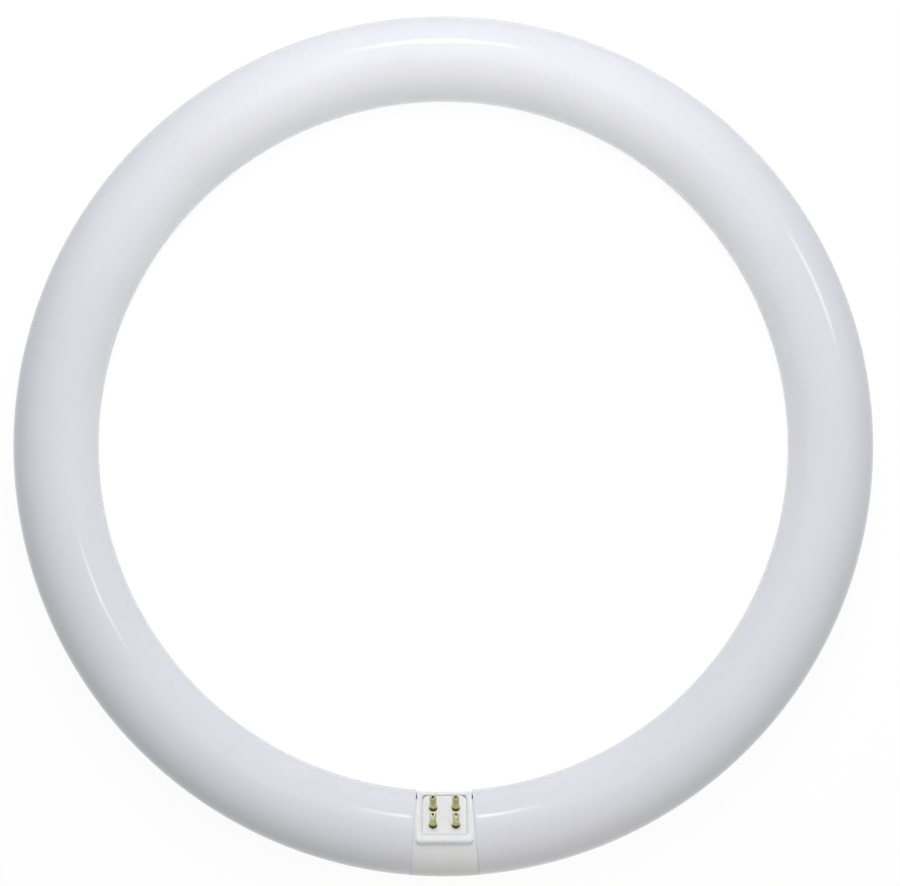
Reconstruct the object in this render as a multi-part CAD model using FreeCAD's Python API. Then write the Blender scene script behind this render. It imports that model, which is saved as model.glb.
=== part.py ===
import FreeCAD, Part
import math
import os
from FreeCAD import Placement, Rotation, Vector

# Circular fluorescent tube, lying flat. Lengths are in millimetres and angles in degrees.
# The origin is the centre of the ring in the tube's middle plane, +Z is the side that the pins face,
# and the cap joins the two ends of the glass at -Y.

# Driving dimensions of the ring
ring_outer_diameter = 305.0
tube_diameter = 29.0

# Driving dimensions of the glass ends, which neck down inside the cap
shoulder_round = 0.5
neck_fillet = 0.8
neck_rim_round = 0.6
ends_apart = 11.6
flare_rim_wall = 1.3
flare_floor_diameter = 6.6
flare_depth = 5.6
exhaust_diameter = 4.0
exhaust_length = 4.4

# Driving dimensions of the cap's two shells
cap_step = 0.6
cap_wall = 1.4
cap_end_web = 2.0
cap_edge_round = 0.25
lip_height = 1.5
lip_thickness = 0.6
rib_thickness = 1.2

# Driving dimensions of the pin boss, whose face looks up and inwards
pin_lean = 45.0
boss_sink = 0.9
boss_depth = 4.0
cheek_width = 1.3
boss_corner_round = 1.2
boss_edge_round = 0.45
boss_foot_round = 0.95
side_margin = 3.79
inner_margin = 4.6
foot_margin = 3.9
side_rim = 1.15
inner_rim = 1.22
foot_rim = 2.53
window_corner_round = 1.2
bevel_width = 0.95
bevel_depth = 0.5
plate_corner_round = 2.2
plate_recess = 0.6
plate_thickness = 1.3
ledge_width = 1.2
ledge_thickness = 0.9
notch_count = 3
notch_pitch = 2.3
notch_radius = 0.28
notch_length = 2.4
pocket_width = 1.0
pocket_length = 2.3
pocket_depth = 4.4
pocket_into_boss = 0.2
pocket_from_end = 0.35

# Driving dimensions of the contact pins
pin_diameter = 2.35
pin_length = 7.6
pin_column_pitch = 7.92
pin_row_pitch = 6.35
pin_flange_diameter = 3.05
pin_flange_thickness = 0.6
pin_rivet_diameter = 3.2
pin_rivet_thickness = 0.5
pin_bore_diameter = 0.9
pin_tip_diameter = 1.5
pin_tip_length = 1.0
dimple_radius = 0.8
dimple_depth = 0.33
dimple_from_tip = 1.9

# Driving dimensions of the lead wires
lead_diameter = 0.6
lead_below_tip = 1.2
lead_bend_height = 4.5
lead_bend_offset = 0.6
lead_bend_share = 0.45

# Clearances between pieces
end_gap = 0.12
neck_clearance = 0.15
neck_under_ledge = 0.25
lip_clearance = 0.08
plate_clearance = 0.08
pin_hole_clearance = 0.02
rib_clearance = 0.2

# The ring and the cap's barrel, whose outer side is flush with the glass
tube_radius = tube_diameter / 2
ring_radius = ring_outer_diameter / 2 - tube_radius
cap_radius = tube_radius - cap_step / 2
cap_ring_radius = ring_outer_diameter / 2 - cap_radius
cap_inner_radius = cap_radius - cap_wall
window_width = pin_column_pitch + 2 * side_margin
boss_width = window_width + 2 * (bevel_width + side_rim)
cap_width = boss_width + 2 * cheek_width
cap_half_angle = math.degrees(math.asin(cap_width / 2 / ring_radius))
inside_half_angle = cap_half_angle - math.degrees(cap_end_web / ring_radius)
beyond = 4 * cap_radius

# The boss and its window, in the facet frame
boss_height = cap_radius - boss_sink
boss_floor = boss_height - boss_depth
window_low = -pin_row_pitch / 2 - foot_margin
window_high = pin_row_pitch / 2 + inner_margin
boss_foot = window_low - foot_rim
boss_inner = window_high + inner_rim
plate_front = boss_height - plate_recess
plate_back = plate_front - plate_thickness
ledge_back = plate_back - ledge_thickness

# The glass ends, whose necks pass under the ledge
neck_bore_radius = ledge_back - neck_under_ledge
neck_radius = neck_bore_radius - neck_clearance
glass_end_angle = cap_half_angle + math.degrees((end_gap + shoulder_round) / ring_radius)
glass_end_x = ring_radius * math.sin(math.radians(glass_end_angle))
neck_end = (glass_end_x - ends_apart / 2) / math.cos(math.radians(glass_end_angle))
flare_floor = neck_end - flare_depth
lead_from_axis = (flare_floor_diameter + exhaust_diameter) / 4

X_AXIS = Vector(1, 0, 0)
Y_AXIS = Vector(0, 1, 0)
Z_AXIS = Vector(0, 0, 1)
ORIGIN = Vector(0, 0, 0)

# The facet frame: x across the cap, y along the boss face towards the ring's middle, z along the pins
facet_place = Placement(Vector(0, -ring_radius, 0), Rotation(X_AXIS, -pin_lean))


def facet(shape):
    """Move a shape that was drawn in the facet frame to its place on the ring."""
    moved = shape.copy()
    moved.Placement = facet_place.multiply(moved.Placement)
    return moved


def slab(low, high):
    """A box in the facet frame, given by its lowest and highest corners."""
    size = Vector(*high) - Vector(*low)
    return facet(Part.makeBox(size.x, size.y, size.z, Vector(*low)))


def prism(face, low, high):
    """A flat outline of the facet frame, extruded between two heights and put in its place."""
    solid = face.extrude(Vector(0, 0, high - low))
    solid.translate(Vector(0, 0, low))
    return facet(solid)


def ring_arc(section_radius, path_radius, from_angle, to_angle):
    """A round section swept about the ring's axis between two angles from the cap's middle."""
    circle = Part.makeCircle(section_radius, Vector(0, -path_radius, 0), X_AXIS)
    section = Part.Face(Part.Wire(circle))
    section.rotate(ORIGIN, Z_AXIS, from_angle)
    return section.revolve(ORIGIN, Z_AXIS, to_angle - from_angle)


def end_frame(side):
    """Where one glass end begins, with z along its neck towards the cap's middle."""
    angle = math.radians(glass_end_angle)
    start = Vector(side * glass_end_x, -ring_radius * math.cos(angle), 0)
    along = Vector(-side * math.cos(angle), -math.sin(angle), 0)
    return Placement(start, Rotation(X_AXIS, Z_AXIS, along, "ZYX"))


def line(start, end):
    """A straight edge of an outline in the xz plane."""
    return Part.makeLine(Vector(start[0], 0, start[1]), Vector(end[0], 0, end[1]))


def arc(start, end, centre):
    """A round edge of an outline in the xz plane, the short way from start to end about centre."""
    half_way = ((start[0] + end[0]) / 2 - centre[0], (start[1] + end[1]) / 2 - centre[1])
    share = math.dist(start, centre) / math.hypot(*half_way)
    middle = Vector(centre[0] + half_way[0] * share, 0, centre[1] + half_way[1] * share)
    return Part.Arc(Vector(start[0], 0, start[1]), middle, Vector(end[0], 0, end[1])).toShape()


def turned(outline):
    """A solid of revolution about z."""
    return Part.Face(Part.Wire(outline)).revolve(ORIGIN, Z_AXIS, 360)


def glass_end():
    """One end of the tube, still solid: shoulder, neck and rim."""
    shoulder_radius = tube_radius - shoulder_round
    root_radius = neck_radius + neck_fillet
    root_end = shoulder_round + neck_fillet
    rim_start = neck_end - neck_rim_round
    rim_radius = neck_radius - neck_rim_round
    return turned([
        line((0, 0), (tube_radius, 0)),
        arc((tube_radius, 0), (shoulder_radius, shoulder_round), (shoulder_radius, 0)),
        line((shoulder_radius, shoulder_round), (root_radius, shoulder_round)),
        arc((root_radius, shoulder_round), (neck_radius, root_end), (root_radius, root_end)),
        line((neck_radius, root_end), (neck_radius, rim_start)),
        arc((neck_radius, rim_start), (rim_radius, neck_end), (rim_radius, rim_start)),
        line((rim_radius, neck_end), (0, neck_end)),
        line((0, neck_end), (0, 0)),
    ])


def flare():
    """The hollow cone that is folded back into a neck."""
    return Part.makeCone(flare_floor_diameter / 2, neck_radius - flare_rim_wall, flare_depth,
                         Vector(0, 0, flare_floor))


def exhaust_tip():
    """The round-ended stub on the flare's floor, where the tube was pumped out and sealed."""
    radius = exhaust_diameter / 2
    root = flare_floor - exhaust_diameter
    round_start = flare_floor + exhaust_length - radius
    return turned([
        line((0, root), (radius, root)),
        line((radius, root), (radius, round_start)),
        arc((radius, round_start), (0, round_start + radius), (0, round_start)),
        line((0, round_start + radius), (0, root)),
    ])


def glass_tube():
    """The coated tube bent to a ring: one closed glass body that can't be seen into."""
    ring = ring_arc(tube_radius, ring_radius, glass_end_angle, 360 - glass_end_angle)
    for side in (-1, 1):
        end, hollow, tip = glass_end(), flare(), exhaust_tip()
        for shape in (end, hollow, tip):
            shape.Placement = end_frame(side)
        ring = ring.fuse(end).cut(hollow).fuse(tip)
    return ring.removeSplitter()


def rounded_rectangle(half_width, low, high, low_round, high_round):
    """A flat rectangle of the facet frame, with one corner radius at its low end and one at its high end."""
    corners = [
        (Vector(-half_width, low, 0), Vector(0, -1, 0), Vector(1, 0, 0), low_round),
        (Vector(half_width, low, 0), Vector(1, 0, 0), Vector(0, 1, 0), low_round),
        (Vector(half_width, high, 0), Vector(0, 1, 0), Vector(-1, 0, 0), high_round),
        (Vector(-half_width, high, 0), Vector(-1, 0, 0), Vector(0, -1, 0), high_round),
    ]
    edges = []
    last_end = None
    for corner, arriving, leaving, radius in corners + corners[:1]:
        arc_start = corner - arriving * radius
        arc_end = corner + leaving * radius
        if last_end:
            edges.append(Part.makeLine(last_end, arc_start))
            bulge = corner + (leaving - arriving) * radius * (1 - math.sqrt(0.5))
            edges.append(Part.Arc(arc_start, bulge, arc_end).toShape())
        last_end = arc_end
    return Part.Face(Part.Wire(edges))


def boss_block():
    """The block that carries the contact face, in the facet frame: three outlines that cross each other."""
    floor = boss_floor
    top = boss_height
    rounded_top = top - boss_edge_round
    half = boss_width / 2
    foot_start = boss_foot + boss_foot_round
    inner_start = boss_inner - boss_edge_round
    plan = rounded_rectangle(half, boss_foot, boss_inner, boss_corner_round, boss_edge_round)
    block = plan.extrude(Vector(0, 0, top))

    # Seen from the side, with the larger round at the foot
    side_outline = Part.Face(Part.Wire([
        line((boss_foot, floor), (boss_inner, floor)),
        line((boss_inner, floor), (boss_inner, rounded_top)),
        arc((boss_inner, rounded_top), (inner_start, top), (inner_start, rounded_top)),
        line((inner_start, top), (foot_start, top)),
        arc((foot_start, top), (boss_foot, top - boss_foot_round), (foot_start, top - boss_foot_round)),
        line((boss_foot, top - boss_foot_round), (boss_foot, floor)),
    ]))
    side_outline.rotate(ORIGIN, Z_AXIS, 90)
    side_outline.translate(Vector(-half, 0, 0))

    # Seen from the end, with the small round on both sides
    end_outline = Part.Face(Part.Wire([
        line((-half, floor), (half, floor)),
        line((half, floor), (half, rounded_top)),
        arc((half, rounded_top), (half - boss_edge_round, top), (half - boss_edge_round, rounded_top)),
        line((half - boss_edge_round, top), (boss_edge_round - half, top)),
        arc((boss_edge_round - half, top), (-half, rounded_top), (boss_edge_round - half, rounded_top)),
        line((-half, rounded_top), (-half, floor)),
    ]))
    end_outline.translate(Vector(0, boss_foot, 0))
    block = block.common(side_outline.extrude(Vector(boss_width, 0, 0)))
    return block.common(end_outline.extrude(Vector(0, boss_inner - boss_foot, 0)))


def window_outline(inset, high_round):
    """The window in the boss face, drawn smaller all round by inset, with its own radius at its high end."""
    return rounded_rectangle(window_width / 2 - inset, window_low + inset, window_high - inset,
                             window_corner_round - inset, high_round)


def window_bevel():
    """The slopes that lead from the boss face down to the window on its two sides."""
    outlines = []
    for share in (0, 2):
        half = window_width / 2 + share * bevel_width
        outline = rounded_rectangle(half, window_low, window_high, window_corner_round, window_corner_round)
        outline.translate(Vector(0, 0, boss_height + (share - 1) * bevel_depth))
        outlines.append(outline.OuterWire)
    return facet(Part.makeLoft(outlines, True, True))


def cap_barrel():
    """The cap's closed outer form, with its two end edges broken."""
    barrel = ring_arc(cap_radius, cap_ring_radius, -cap_half_angle, cap_half_angle)
    rims = [edge for edge in barrel.Edges if abs(edge.Curve.Radius - cap_radius) < cap_edge_round]
    return barrel.makeFillet(cap_edge_round, rims)


def neck_bores():
    """The bores in the end webs that grip the glass necks, each countersunk to clear the neck's root."""
    bores = []
    sink_depth = end_gap + neck_fillet + neck_clearance
    for side in (-1, 1):
        start = Vector(0, 0, shoulder_round)
        bore = Part.makeCylinder(neck_bore_radius, neck_end - shoulder_round, start)
        sink = Part.makeCone(neck_bore_radius + sink_depth, neck_bore_radius, sink_depth, start)
        bore = bore.fuse(sink)
        bore.Placement = end_frame(side)
        bores.append(bore)
    return bores[0].fuse(bores[1])


def foot_notches():
    """Short round grooves that run down the foot of the boss."""
    notches = []
    notch_low = boss_height - boss_foot_round / 2 - notch_length
    for index in range(notch_count):
        x = (index - (notch_count - 1) / 2) * notch_pitch
        start = Vector(x, boss_foot, notch_low)
        notches.append(facet(Part.makeCylinder(notch_radius, notch_length, start)))
    return notches


def corner_pockets():
    """The narrow deep pockets beside the boss at its two inner corners."""
    start = boss_width / 2 - pocket_into_boss
    high = boss_inner - pocket_from_end
    pockets = []
    for x in (start, -start - pocket_width):
        low_corner = (x, high - pocket_length, boss_height - pocket_depth)
        pockets.append(slab(low_corner, (x + pocket_width, high, boss_height)))
    return pockets


def cap_front_shell():
    """The shell with the pin boss, its window and the ledge that the pin plate lies on."""
    shell = cap_barrel().common(slab((-beyond, -beyond, 0), (beyond, beyond, beyond)))
    shell = shell.cut(slab((-boss_width / 2, -beyond, boss_height), (boss_width / 2, beyond, beyond)))
    shell = shell.fuse(facet(boss_block()))

    # Inside: the hollow under the ledge, the rebate for the other shell's lip and the neck bores
    inside = ring_arc(cap_inner_radius, cap_ring_radius, -inside_half_angle, inside_half_angle)
    shell = shell.cut(inside.common(slab((-beyond, -beyond, -beyond), (beyond, beyond, ledge_back))))
    rebate_radius = cap_inner_radius + lip_thickness + lip_clearance
    rebate = ring_arc(rebate_radius, cap_ring_radius, -inside_half_angle, inside_half_angle)
    shell = shell.cut(rebate.common(slab((-beyond, -beyond, 0), (beyond, beyond, lip_height + lip_clearance))))
    shell = shell.cut(neck_bores())

    # The window takes the plate, and the smaller opening under it leaves the ledge
    opening = window_outline(0, window_corner_round)
    shell = shell.cut(prism(opening, plate_back, boss_height + boss_edge_round))
    opening = rounded_rectangle(window_width / 2 - ledge_width, window_low + ledge_width,
                                window_high - ledge_width, window_corner_round, window_corner_round)
    shell = shell.cut(prism(opening, ledge_back - ledge_thickness, plate_back))
    shell = shell.cut(window_bevel())
    for hollow in foot_notches() + corner_pockets():
        shell = shell.cut(hollow)
    return shell.removeSplitter()


def cap_back_shell():
    """The plain shell, with the lip inside the seam and the rib between the two glass ends."""
    shell = cap_barrel().common(slab((-beyond, -beyond, -beyond), (beyond, beyond, 0)))
    shell = shell.cut(ring_arc(cap_inner_radius, cap_ring_radius, -inside_half_angle, inside_half_angle))

    # The lip stands inside the front shell's wall, between the end webs
    lip_half_angle = inside_half_angle - math.degrees(lip_clearance / ring_radius)
    lip = ring_arc(cap_inner_radius + lip_thickness, cap_ring_radius, -lip_half_angle, lip_half_angle)
    lip = lip.cut(ring_arc(cap_inner_radius, cap_ring_radius, -cap_half_angle, cap_half_angle))
    shell = shell.fuse(lip.common(slab((-beyond, -beyond, -lip_height), (beyond, beyond, lip_height))))

    # The rib keeps the leads of the two ends apart and backs the pin plate
    half = rib_thickness / 2
    rib_root = ring_arc(cap_radius - cap_wall / 2, cap_ring_radius, -cap_half_angle, cap_half_angle)
    shell = shell.fuse(rib_root.common(slab((-half, -beyond, -beyond), (half, beyond, 0))))
    inset = ledge_width + rib_clearance
    shell = shell.fuse(slab((-half, window_low + inset, -half), (half, window_high - inset, plate_back)))
    return shell.cut(neck_bores()).removeSplitter()


def pin_places():
    """Each pin's place on the plate, with the side of its glass end and its row."""
    places = []
    for side in (-1, 1):
        for row in (1, -1):
            x = side * pin_column_pitch / 2
            y = row * pin_row_pitch / 2
            places.append((side, row, x, y))
    return places


def pin_plate():
    """The plate that carries the pins, dropped into the window onto its ledge."""
    plate = prism(window_outline(plate_clearance, plate_corner_round), plate_back, plate_front)
    hole_radius = pin_diameter / 2 + pin_hole_clearance
    for side, row, x, y in pin_places():
        plate = plate.cut(facet(Part.makeCylinder(hole_radius, plate_thickness, Vector(x, y, plate_back))))
    return plate


def contact_pin(x, y):
    """A hollow pin: rivet head behind the plate, flange in front, rounded tip and crimp dimple."""
    radius = pin_diameter / 2
    bore = pin_bore_diameter / 2
    rivet_radius = pin_rivet_diameter / 2
    rivet_back = plate_back - pin_rivet_thickness
    flange_radius = pin_flange_diameter / 2
    flange_top = plate_front + pin_flange_thickness
    tip = plate_front + pin_length
    tip_radius = pin_tip_diameter / 2

    # The round of the tip meets the shaft square on
    narrowing = radius - tip_radius
    round_radius = (pin_tip_length ** 2 + narrowing ** 2) / (2 * narrowing)
    round_start = tip - pin_tip_length
    pin = turned([
        line((bore, rivet_back), (rivet_radius, rivet_back)),
        line((rivet_radius, rivet_back), (rivet_radius, plate_back)),
        line((rivet_radius, plate_back), (radius, plate_back)),
        line((radius, plate_back), (radius, plate_front)),
        line((radius, plate_front), (flange_radius, plate_front)),
        line((flange_radius, plate_front), (flange_radius, flange_top)),
        line((flange_radius, flange_top), (radius, flange_top)),
        line((radius, flange_top), (radius, round_start)),
        arc((radius, round_start), (tip_radius, tip), (radius - round_radius, round_start)),
        line((tip_radius, tip), (bore, tip)),
        line((bore, tip), (bore, rivet_back)),
    ])
    dimple_centre = Vector(0, dimple_depth - radius - dimple_radius, tip - dimple_from_tip)
    pin = pin.cut(Part.makeSphere(dimple_radius, dimple_centre))
    pin.translate(Vector(x, y, 0))
    return facet(pin)


def lead_route(side, row, x, y):
    """The points of one lead wire, from the floor of the flare to just below the pin's tip."""
    place = end_frame(side)
    neck_way = place.Rotation.multVec(Z_AXIS)
    across = (neck_way.cross(Z_AXIS) * side - Z_AXIS).normalize()
    start = place.multVec(Vector(0, 0, flare_floor)) + across * (row * lead_from_axis)
    bend_run = (abs(start.x) - abs(x) - lead_bend_offset) / abs(neck_way.x)
    under_pin = facet_place.multVec(Vector(x, y, lead_bend_height))
    end = facet_place.multVec(Vector(x, y, plate_front + pin_length - lead_below_tip))
    return [start, start + neck_way * bend_run, under_pin, end]


def lead_wire(points):
    """A round wire along straight runs that are joined by tangent arcs."""
    edges = []
    run_start = points[0]
    for before, corner, after in zip(points, points[1:], points[2:]):
        back = (before - corner).normalize()
        ahead = (after - corner).normalize()
        reach = lead_bend_share * min(before.distanceToPoint(corner), after.distanceToPoint(corner))
        radius = reach / math.tan((math.pi - back.getAngle(ahead)) / 2)
        bisector = (back + ahead).normalize()
        middle = corner + bisector * (math.hypot(radius, reach) - radius)
        arc_end = corner + ahead * reach
        edges.append(Part.makeLine(run_start, corner + back * reach))
        edges.append(Part.Arc(corner + back * reach, middle, arc_end).toShape())
        run_start = arc_end
    edges.append(Part.makeLine(run_start, points[-1]))
    section = Part.makeCircle(lead_diameter / 2, points[0], (points[1] - points[0]).normalize())
    return Part.Wire(edges).makePipeShell([Part.Wire(section)], True, False)


def write(node, shape):
    shape.exportStep("parts/" + node + ".step")
    print(node, len(shape.Solids), shape.isValid(), round(shape.Volume, 3))


os.makedirs("parts", exist_ok=True)
write("glass_tube", glass_tube())
write("cap_front_shell", cap_front_shell())
write("cap_back_shell", cap_back_shell())
write("pin_plate", pin_plate())
for number, (side, row, x, y) in enumerate(pin_places(), start=1):
    write("contact_pin_" + str(number), contact_pin(x, y))
    write("lead_wire_" + str(number), lead_wire(lead_route(side, row, x, y)))
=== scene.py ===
import math
import bmesh
import bpy
from mathutils import Matrix, Vector

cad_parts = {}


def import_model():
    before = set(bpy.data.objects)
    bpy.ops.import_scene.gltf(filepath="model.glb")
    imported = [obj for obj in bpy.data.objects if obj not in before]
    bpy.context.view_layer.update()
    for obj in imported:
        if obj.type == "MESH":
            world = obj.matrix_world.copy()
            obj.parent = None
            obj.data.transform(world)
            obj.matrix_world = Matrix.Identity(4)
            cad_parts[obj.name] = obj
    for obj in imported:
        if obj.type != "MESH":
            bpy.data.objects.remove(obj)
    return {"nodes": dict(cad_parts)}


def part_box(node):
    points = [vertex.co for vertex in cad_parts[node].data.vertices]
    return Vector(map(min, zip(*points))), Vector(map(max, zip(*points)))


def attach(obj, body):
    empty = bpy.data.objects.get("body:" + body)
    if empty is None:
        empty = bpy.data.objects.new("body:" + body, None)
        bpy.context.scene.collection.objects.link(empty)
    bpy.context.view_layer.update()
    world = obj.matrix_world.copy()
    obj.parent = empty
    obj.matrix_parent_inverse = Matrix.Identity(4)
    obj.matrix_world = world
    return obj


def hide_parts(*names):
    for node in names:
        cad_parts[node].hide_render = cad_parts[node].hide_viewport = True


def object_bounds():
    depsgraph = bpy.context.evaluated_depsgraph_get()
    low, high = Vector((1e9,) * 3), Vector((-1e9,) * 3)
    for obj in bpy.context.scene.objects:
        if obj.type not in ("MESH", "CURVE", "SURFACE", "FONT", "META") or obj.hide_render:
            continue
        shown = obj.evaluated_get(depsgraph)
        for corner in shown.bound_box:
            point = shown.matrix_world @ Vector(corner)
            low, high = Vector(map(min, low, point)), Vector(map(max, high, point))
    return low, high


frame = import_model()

cad_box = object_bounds()
MM = 0.001

# The tube's radius and the radius of the ring's middle line, read from the frame
GLASS_LOW, GLASS_HIGH = (Vector(corner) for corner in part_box("glass_tube"))
TUBE_RADIUS = (GLASS_HIGH.z - GLASS_LOW.z) / 2
RING_RADIUS = (GLASS_HIGH.x - GLASS_LOW.x) / 2 - TUBE_RADIUS

# The glass ends, which meet the cap's ends and reach into it
CAP_HALF_WIDTH = 11.15 * MM
SHOULDER_ROUND = 0.06 * MM
NECK_RADIUS = 10.1 * MM
NECK_FILLET = 0.8 * MM
NECK_RIM_ROUND = 0.6 * MM
HALF_ENDS_APART = 5.8 * MM
FLARE_MOUTH_RADIUS = 8.8 * MM
FLARE_FLOOR_RADIUS = 3.3 * MM
FLARE_DEPTH = 5.6 * MM
EXHAUST_RADIUS = 2.0 * MM
EXHAUST_LENGTH = 4.4 * MM

# How finely the glass is divided, and the angle from which an edge is shown sharp
RING_STEPS = 360
SECTION_STEPS = 72
ROUND_STEPS = 5
SHARP_ANGLE = math.radians(35)

# The contact face, which leans 45 degrees: the pins' way out, the way along the face to the ring's inside,
# where the ring's middle line lies on both, the plate's level, half the pins' spacings, the window's foot
PINS_WAY = (0.0, math.sqrt(0.5), math.sqrt(0.5))
FACE_WAY = (0.0, math.sqrt(0.5), -math.sqrt(0.5))
FACE_START = -RING_RADIUS * math.sqrt(0.5)
PLATE_LEVEL = FACE_START + 12.7 * MM
PIN_HALF_COLUMN = 3.96 * MM
PIN_HALF_ROW = 3.175 * MM
WINDOW_LOW = -7.075 * MM

# Where the colours of the plate and the pins change, each as the start and the end of a soft step, and how
# far the top of the painted shade at the pins' roots wanders up and down. The plate's foot line, the bores
# and the pins' roots are painted shade.
FOOT_SHADE_LINE = (0.3 * MM, 0.75 * MM)
BORE_EDGE = (0.42 * MM, 0.52 * MM)
LOWER_SIDE = (-0.9 * MM, 0.3 * MM)
ROW_PARTING = (-0.5 * MM, 0.5 * MM)
SHAFT_FADING = (1.2 * MM, 5.0 * MM)
INNER_TIP = (2.4 * MM, 4.2 * MM)
ROOT_SHADE_TOP = (0.45 * MM, 1.5 * MM)
ROOT_SHADE_WANDER = 0.6 * MM

# The camera stands on the ring's axis, and the picture's middle is a little off the ring's
CAMERA_HEIGHT = 0.4
CAMERA_LENS = 44.82
CAMERA_SHIFT = (0.00744, 0.00367)
CAMERA_ROLL = math.radians(-0.18)

# The studio: how the floor shows and how much light it throws back, the soft light from all round, and the
# two stretches of the ring that lamps are turned to
FLOOR_HALF_SIZE = 6.0
FLOOR_GLOW = 0.93
FLOOR_SHADED_GREY = 0.1
FLOOR_BOUNCE_GREY = 0.9
SOFT_LIGHT = 0.335
SOFT_LIGHT_TINT = (0.95, 0.97, 1.0)
CAP_STRETCH = (0, -0.14, 0)
FAR_STRETCH = (0, 0.14, 0)

# The sockets of the Mix node for colours, which have no names of their own
MIX_SHARE = 0
MIX_FIRST = 6
MIX_SECOND = 7
MIX_RESULT = 2


class Shade:
    """A shader socket that takes part in Python expressions, which add the Math nodes."""

    def __init__(self, tree, socket=None):
        self.tree = tree
        self.socket = socket

    def node(self, kind, settings, sockets, output=0):
        """Any node, from its type, its settings and the values or links of its sockets."""
        made = self.tree.nodes.new("ShaderNode" + kind)
        for name, value in settings.items():
            setattr(made, name, value)
        for name, value in sockets.items():
            if isinstance(value, Shade):
                self.tree.links.new(value.socket, made.inputs[name])
            else:
                made.inputs[name].default_value = value
        return Shade(self.tree, made.outputs[output])

    def maths(self, operation, *values):
        return self.node("Math", {"operation": operation}, dict(enumerate(values)))

    def __add__(self, other):
        return self.maths("ADD", self, other)

    def __radd__(self, other):
        return self.maths("ADD", other, self)

    def __sub__(self, other):
        return self.maths("SUBTRACT", self, other)

    def __rsub__(self, other):
        return self.maths("SUBTRACT", other, self)

    def __mul__(self, other):
        return self.maths("MULTIPLY", self, other)

    def ramp(self, low, high):
        """0 below low, 1 above high and a smooth step between."""
        return self.node("MapRange", {"interpolation_type": "SMOOTHSTEP"},
                         {"Value": self, "From Min": low, "From Max": high})

    def absolute(self):
        return self.maths("ABSOLUTE", self)

    def sign(self):
        return self.maths("SIGN", self)

    def root(self):
        return self.maths("SQRT", self)

    def larger(self, other):
        return self.maths("MAXIMUM", self, other)

    def place(self):
        """Object coordinates, in metres."""
        return self.node("TexCoord", {}, {}, output="Object")

    def along(self, direction, start=0.0):
        """How far the place lies along a direction, counted from start."""
        sockets = {0: self.place(), 1: direction}
        return self.node("VectorMath", {"operation": "DOT_PRODUCT"}, sockets, output="Value") - start

    def noise(self, scale, detail, stretch=(1.0, 1.0, 1.0)):
        """Cloudy noise with an average of about 0.5, over features of about 1 / scale metres."""
        place = self.node("Mapping", {}, {"Vector": self.place(), "Scale": stretch})
        return self.node("TexNoise", {}, {"Vector": place, "Scale": scale, "Detail": detail})

    def blend(self, first, second):
        """A colour that goes from first to second as this value goes from 0 to 1."""
        sockets = {MIX_SHARE: self, MIX_FIRST: first, MIX_SECOND: second}
        return self.node("Mix", {"data_type": "RGBA"}, sockets, output=MIX_RESULT)

    def bump(self, distance, strength):
        """A normal from this value as a height, which is distance metres at 1."""
        return self.node("Bump", {}, {"Height": self, "Distance": distance, "Strength": strength})

    def show(self, kind):
        """Make this shader the surface of its Material or its World."""
        output = self.tree.nodes.new("ShaderNodeOutput" + kind)
        self.tree.links.new(self.socket, output.inputs["Surface"])


def emptied(owner):
    """A Shade for the emptied node tree of a material or a world."""
    owner.use_nodes = True
    owner.node_tree.nodes.clear()
    return Shade(owner.node_tree)


def colour(red, green, blue):
    return (red, green, blue, 1.0)


def grey(level):
    return colour(level, level, level)


def material(name, make, **fixed):
    """A Principled material. make returns its varying sockets, and fixed holds the constant ones."""
    made = bpy.data.materials.new(name)
    shade = emptied(made)
    constants = {key.replace("_", " "): value for key, value in fixed.items()}
    shade.node("BsdfPrincipled", {}, {**constants, **make(shade)}).show("Material")
    return made


def coated_glass():
    """Clear glass, faintly green at a grazing view, over a white powder that is a little uneven."""
    thin_powder = colour(0.836, 0.815, 0.855)
    thick_powder = colour(0.866, 0.845, 0.885)

    def make(shade):
        clouds = shade.noise(scale=22.0, detail=3.0)
        grain = shade.noise(scale=1400.0, detail=2.0)
        powder = (clouds * 0.8 + grain * 0.2).ramp(0.3, 0.7)
        return {"Base Color": powder.blend(thin_powder, thick_powder)}

    return material("coated_glass", make, Roughness=0.8, Specular_IOR_Level=0.2, Coat_Weight=1.0,
                    Coat_Roughness=0.12, Coat_IOR=1.52, Coat_Tint=colour(0.955, 0.975, 0.965))


def cap_plastic():
    """White moulded plastic with a satin skin and faint flow marks, which light enters a little."""
    dull_white = colour(0.895, 0.89, 0.88)
    bright_white = colour(0.93, 0.925, 0.915)

    def make(shade):
        flow = shade.noise(scale=160.0, detail=3.0, stretch=(1.0, 0.35, 0.35))
        skin = shade.noise(scale=5200.0, detail=2.0)
        return {
            "Base Color": flow.ramp(0.3, 0.7).blend(dull_white, bright_white),
            "Roughness": 0.30 + flow * 0.12,
            "Normal": skin.bump(distance=0.01 * MM, strength=0.6),
        }

    return material("cap_plastic", make, IOR=1.49, Subsurface_Weight=0.35,
                    Subsurface_Scale=1.2 * MM, Subsurface_Radius=(1.0, 0.95, 0.85))


def plate_plastic():
    """Matt white insulating plate, with a line of painted shade in the crease at the window's foot."""
    dull_white = colour(0.885, 0.88, 0.885)
    bright_white = colour(0.94, 0.935, 0.94)
    shade_line_grey = colour(0.55, 0.545, 0.54)

    def make(shade):
        mottle = shade.noise(scale=900.0, detail=3.0)
        clean = mottle.ramp(0.35, 0.7).blend(dull_white, bright_white)
        # Painted shade: a grey line on the plate in the crease at the window's foot
        foot_shade_line = 1 - (shade.along(FACE_WAY, FACE_START) - WINDOW_LOW).ramp(*FOOT_SHADE_LINE)
        return {
            "Base Color": foot_shade_line.blend(clean, shade_line_grey),
            "Roughness": 0.42 + mottle * 0.15,
            "Normal": mottle.bump(distance=0.02 * MM, strength=0.5),
        }

    return material("plate_plastic", make, IOR=1.5)


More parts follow.
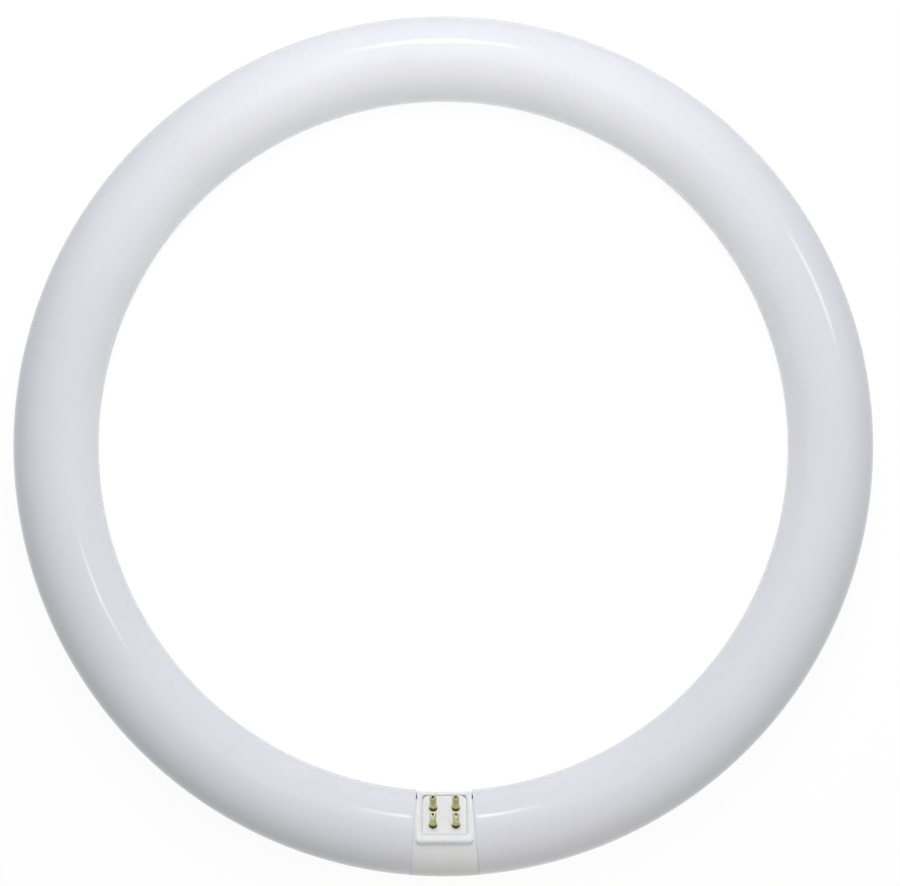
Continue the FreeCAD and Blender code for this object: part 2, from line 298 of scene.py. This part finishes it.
def pin_brass():
    """Drawn brass with tarnish patches, darker inner tips, and painted shade at the root and in the bore.
    """
    olive = colour(0.62, 0.62, 0.20)
    straw = colour(0.64, 0.62, 0.42)
    patch_brown = colour(0.30, 0.285, 0.11)
    darker_olive = colour(0.44, 0.42, 0.22)
    # Painted shade, nearly black, on each pin's lower side at its root
    root_shade_black = colour(0.09, 0.09, 0.03)
    # Painted shade, nearly black, inside each pin's bore
    bore_shade_black = colour(0.02, 0.02, 0.01)

    def make(shade):
        tarnish = shade.noise(scale=700.0, detail=3.0)
        drawn = shade.noise(scale=9000.0, detail=2.0, stretch=(1.0, 0.15, 0.15))
        height = shade.along(PINS_WAY, PLATE_LEVEL)
        along_face = shade.along(FACE_WAY, FACE_START)
        from_row = along_face.absolute() - PIN_HALF_ROW
        from_column = shade.along((1.0, 0.0, 0.0)).absolute() - PIN_HALF_COLUMN
        lower_side = 1 - (from_row * along_face.sign()).ramp(*LOWER_SIDE)
        # Painted shade: the inside of each pin's bore is nearly black
        bore = 1 - (from_column * from_column + from_row * from_row).root().ramp(*BORE_EDGE)
        # Painted shade at the root: below a wandering height, on the side away from the ring's middle,
        # where the shaft shades the flange
        root_shade = 1 - (height + (tarnish - 0.5) * ROOT_SHADE_WANDER).ramp(*ROOT_SHADE_TOP)
        # The inner row's tips are a darker olive than the outer row's
        inner_tip = along_face.ramp(*ROW_PARTING) * height.ramp(*INNER_TIP)
        clean = height.ramp(*SHAFT_FADING).blend(olive, straw)
        patched = tarnish.ramp(0.42, 0.75).blend(clean, patch_brown)
        tip_darkened = inner_tip.blend(patched, darker_olive)
        # The painted root shade goes over the colour here
        root_shaded = (root_shade * lower_side).blend(tip_darkened, root_shade_black)
        return {
            "Base Color": bore.blend(root_shaded, bore_shade_black),
            "Roughness": 0.24 + tarnish * 0.2,
            "Normal": drawn.bump(distance=0.01 * MM, strength=0.5),
        }

    return material("pin_brass", make, Metallic=1.0)


def lead_metal():
    """Bare nickel-iron wire."""
    dark_metal = colour(0.50, 0.49, 0.46)
    bright_metal = colour(0.66, 0.65, 0.62)

    def make(shade):
        dull = shade.noise(scale=1500.0, detail=2.0)
        return {
            "Base Color": dull.blend(dark_metal, bright_metal),
            "Roughness": 0.3 + dull * 0.2,
        }

    return material("lead_metal", make, Metallic=1.0)


def arc_points(start, end, centre):
    """Points (along, radius) of a round stretch after its start, the short way about its centre."""
    first = math.atan2(start[1] - centre[1], start[0] - centre[0])
    last = math.atan2(end[1] - centre[1], end[0] - centre[0])
    turn = math.remainder(last - first, math.tau)
    size = math.dist(start, centre)
    angles = [first + turn * step / ROUND_STEPS for step in range(1, ROUND_STEPS + 1)]
    return [(centre[0] + size * math.cos(angle), centre[1] + size * math.sin(angle)) for angle in angles]


def glass_end_profile(neck_end):
    """A closed end's outline as (distance along the neck, radius), from the shoulder to the exhaust tip."""
    root = NECK_RADIUS + NECK_FILLET
    neck_start = SHOULDER_ROUND + NECK_FILLET
    rim = NECK_RADIUS - NECK_RIM_ROUND
    rim_start = neck_end - NECK_RIM_ROUND
    floor_level = neck_end - FLARE_DEPTH
    tip_start = floor_level + EXHAUST_LENGTH - EXHAUST_RADIUS
    tip = (tip_start + EXHAUST_RADIUS, 0)
    shoulder = TUBE_RADIUS - SHOULDER_ROUND
    outline = arc_points((0, TUBE_RADIUS), (SHOULDER_ROUND, shoulder), (0, shoulder))
    outline += [(SHOULDER_ROUND, root)]
    outline += arc_points((SHOULDER_ROUND, root), (neck_start, NECK_RADIUS), (neck_start, root))
    outline += [(rim_start, NECK_RADIUS)]
    outline += arc_points((rim_start, NECK_RADIUS), (neck_end, rim), (rim_start, rim))
    outline += [(neck_end, FLARE_MOUTH_RADIUS), (floor_level, FLARE_FLOOR_RADIUS)]
    outline += [(floor_level, EXHAUST_RADIUS), (tip_start, EXHAUST_RADIUS)]
    return outline + arc_points((tip_start, EXHAUST_RADIUS), tip, (tip_start, 0))[:-1] + [tip]


def finished(name, mesh, finish):
    """A bmesh as a named object with its material, smooth apart from its sharp edges."""
    data = bpy.data.meshes.new(name)
    mesh.to_mesh(data)
    mesh.free()
    data.materials.append(finish)
    data.shade_smooth()
    data.set_sharp_from_angle(angle=SHARP_ANGLE)
    made = bpy.data.objects.new(name, data)
    bpy.context.scene.collection.objects.link(made)
    return made


def glass_ring(finish):
    """The glass body: a round section spun about the ring's axis, each end carried on into the cap."""
    end_angle = math.asin(CAP_HALF_WIDTH / RING_RADIUS) + SHOULDER_ROUND / RING_RADIUS
    neck_end = (RING_RADIUS * math.sin(end_angle) - HALF_ENDS_APART) / math.cos(end_angle)
    mesh = bmesh.new()
    upright = Matrix.Rotation(math.pi / 2, 4, "Y")
    start = Matrix.Rotation(end_angle, 4, "Z") @ Matrix.Translation((0, -RING_RADIUS, 0)) @ upright
    bmesh.ops.create_circle(mesh, segments=SECTION_STEPS, radius=TUBE_RADIUS, matrix=start)
    section = mesh.verts[:] + mesh.edges[:]
    first = mesh.edges[:]
    last = bmesh.ops.spin(mesh, geom=section, axis=(0, 0, 1), cent=(0, 0, 0), steps=RING_STEPS,
                          angle=math.tau - 2 * end_angle)["geom_last"]
    last = [part for part in last if isinstance(part, bmesh.types.BMEdge)]
    for side, rim in ((1, first), (-1, last)):
        centre = Vector((side * math.sin(end_angle), -math.cos(end_angle), 0)) * RING_RADIUS
        along = Vector((-side * math.cos(end_angle), -math.sin(end_angle), 0))
        done, radius = 0.0, TUBE_RADIUS
        for distance, size in glass_end_profile(neck_end):
            grown = bmesh.ops.extrude_edge_only(mesh, edges=rim)["geom"]
            rim = [part for part in grown if isinstance(part, bmesh.types.BMEdge)
                   and all(vert in grown for vert in part.verts)]
            verts = [part for part in grown if isinstance(part, bmesh.types.BMVert)]
            space = Matrix.Translation(-(centre + along * done))
            bmesh.ops.scale(mesh, verts=verts, vec=Vector((1, 1, 1)) * (size / radius), space=space)
            bmesh.ops.translate(mesh, verts=verts, vec=along * (distance - done))
            done, radius = distance, size or radius
    bmesh.ops.remove_doubles(mesh, verts=mesh.verts[:], dist=0.001 * MM)
    bmesh.ops.recalc_face_normals(mesh, faces=mesh.faces[:])
    ring = finished("glass_ring", mesh, finish)
    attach(ring, "root")
    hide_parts("glass_tube")


def dress_nodes():
    """The CAD pieces that keep their shape get their finish."""
    finishes = {
        "cap_": cap_plastic(),
        "pin_plate": plate_plastic(),
        "contact_pin": pin_brass(),
        "lead_wire": lead_metal(),
    }
    for name, node in frame["nodes"].items():
        for start, finish in finishes.items():
            if name.startswith(start):
                for slot in node.material_slots:
                    slot.material = finish


def straight_rays(shade):
    """1 for what the camera, a reflection or clear glass sees, and 0 for what only lights the object."""
    seen = shade.node("LightPath", {}, {}, output="Is Camera Ray")
    for ray in ("Is Glossy Ray", "Is Transmission Ray"):
        seen = seen.larger(shade.node("LightPath", {}, {}, output=ray))
    return seen


def floor():
    """A pale floor, which shows white with the object's soft shadow and can't be seen from below."""
    made = bpy.data.materials.new("floor")
    shade = emptied(made)
    bounce = shade.node("BsdfDiffuse", {}, {"Color": grey(FLOOR_BOUNCE_GREY)})
    shaded = shade.node("BsdfDiffuse", {}, {"Color": grey(FLOOR_SHADED_GREY)})
    glow = shade.node("Emission", {}, {"Color": grey(1), "Strength": FLOOR_GLOW})
    white = shade.node("AddShader", {}, {0: shaded, 1: glow})
    above = shade.node("MixShader", {}, {0: straight_rays(shade), 1: bounce, 2: white})
    below = shade.node("NewGeometry", {}, {}, output="Backfacing")
    clear = shade.node("BsdfTransparent", {}, {})
    shade.node("MixShader", {}, {0: below, 1: above, 2: clear}).show("Material")
    mesh = bmesh.new()
    bmesh.ops.create_grid(mesh, x_segments=1, y_segments=1, size=FLOOR_HALF_SIZE,
                          matrix=Matrix.Translation((0, 0, cad_box[0].z)))
    finished("floor", mesh, made)


def world():
    """White where the camera or a reflection looks past the floor, a soft grey light for all else."""
    made = bpy.data.worlds.new("studio")
    shade = emptied(made)
    light = shade.node("Background", {}, {"Color": colour(*SOFT_LIGHT_TINT), "Strength": SOFT_LIGHT})
    white = shade.node("Background", {}, {"Color": grey(1), "Strength": 1.0})
    shade.node("MixShader", {}, {0: straight_rays(shade), 1: light, 2: white}).show("World")
    bpy.context.scene.world = made


def lamp(name, place, size, power, target=(0, 0, 0), mirrored=False, tint=(1, 1, 1), spread=180):
    """An area lamp turned to its target: an ellipse that gloss mirrors, or a rectangle that it doesn't."""
    data = bpy.data.lights.new(name, "AREA")
    data.shape = "ELLIPSE" if mirrored else "RECTANGLE"
    data.size, data.size_y = size
    data.energy = power
    data.color = tint
    data.spread = math.radians(spread)
    made = bpy.data.objects.new(name, data)
    made.location = place
    made.visible_camera = False
    made.visible_glossy = mirrored
    made.rotation_mode = "QUATERNION"
    made.rotation_quaternion = (Vector(target) - Vector(place)).to_track_quat("-Z", "Y")
    bpy.context.scene.collection.objects.link(made)


def lamps():
    """Four lamps for the streaks on the glass, and five softboxes that no gloss mirrors."""
    lamp("lamp_top", place=(-0.006, 0.2925, 0.259), size=(0.065, 0.055), power=0.035, mirrored=True)
    lamp("lamp_top_glow", place=(-0.006, 0.293, 0.259), size=(0.15, 0.05), power=0.055, mirrored=True)
    lamp("lamp_low_glow", place=(-0.004, 0.2925, 0.26), size=(0.16, 0.09), power=0.0065, mirrored=True,
         target=CAP_STRETCH, spread=50)
    lamp("lamp_right", place=(0.43, 0.185, 0.523), size=(0.14, 0.09), power=0.125, mirrored=True)
    lamp("softbox_top", place=(0, 0.15, 0.3), size=(0.2, 0.2), power=0.56)
    lamp("softbox_right", place=(0.3, 0, 0.4), size=(0.2, 0.2), power=0.15)
    lamp("softbox_foot", place=(0.04, -0.24, 0.08), size=(0.06, 0.06), power=0.016,
         target=CAP_STRETCH, tint=(1.0, 0.93, 0.8))
    lamp("softbox_inner", place=(0, 0.035, 0.025), size=(0.08, 0.03), power=0.0065, target=FAR_STRETCH)
    lamp("softbox_far", place=(0, 1.5, 0.8), size=(2.4, 0.8), power=4.3, tint=(0.67, 0.7, 1.0))


def camera():
    """The picture's view, straight down on the ring with the cap at the bottom."""
    data = bpy.data.cameras.new("camera")
    data.lens = CAMERA_LENS
    data.shift_x, data.shift_y = CAMERA_SHIFT
    made = bpy.data.objects.new("camera", data)
    made.location = (0, 0, CAMERA_HEIGHT)
    made.rotation_euler = (0, 0, CAMERA_ROLL)
    bpy.context.scene.collection.objects.link(made)
    bpy.context.scene.camera = made


bpy.context.scene.view_settings.view_transform = "Standard"
dress_nodes()
glass_ring(coated_glass())
floor()
world()
lamps()
camera()
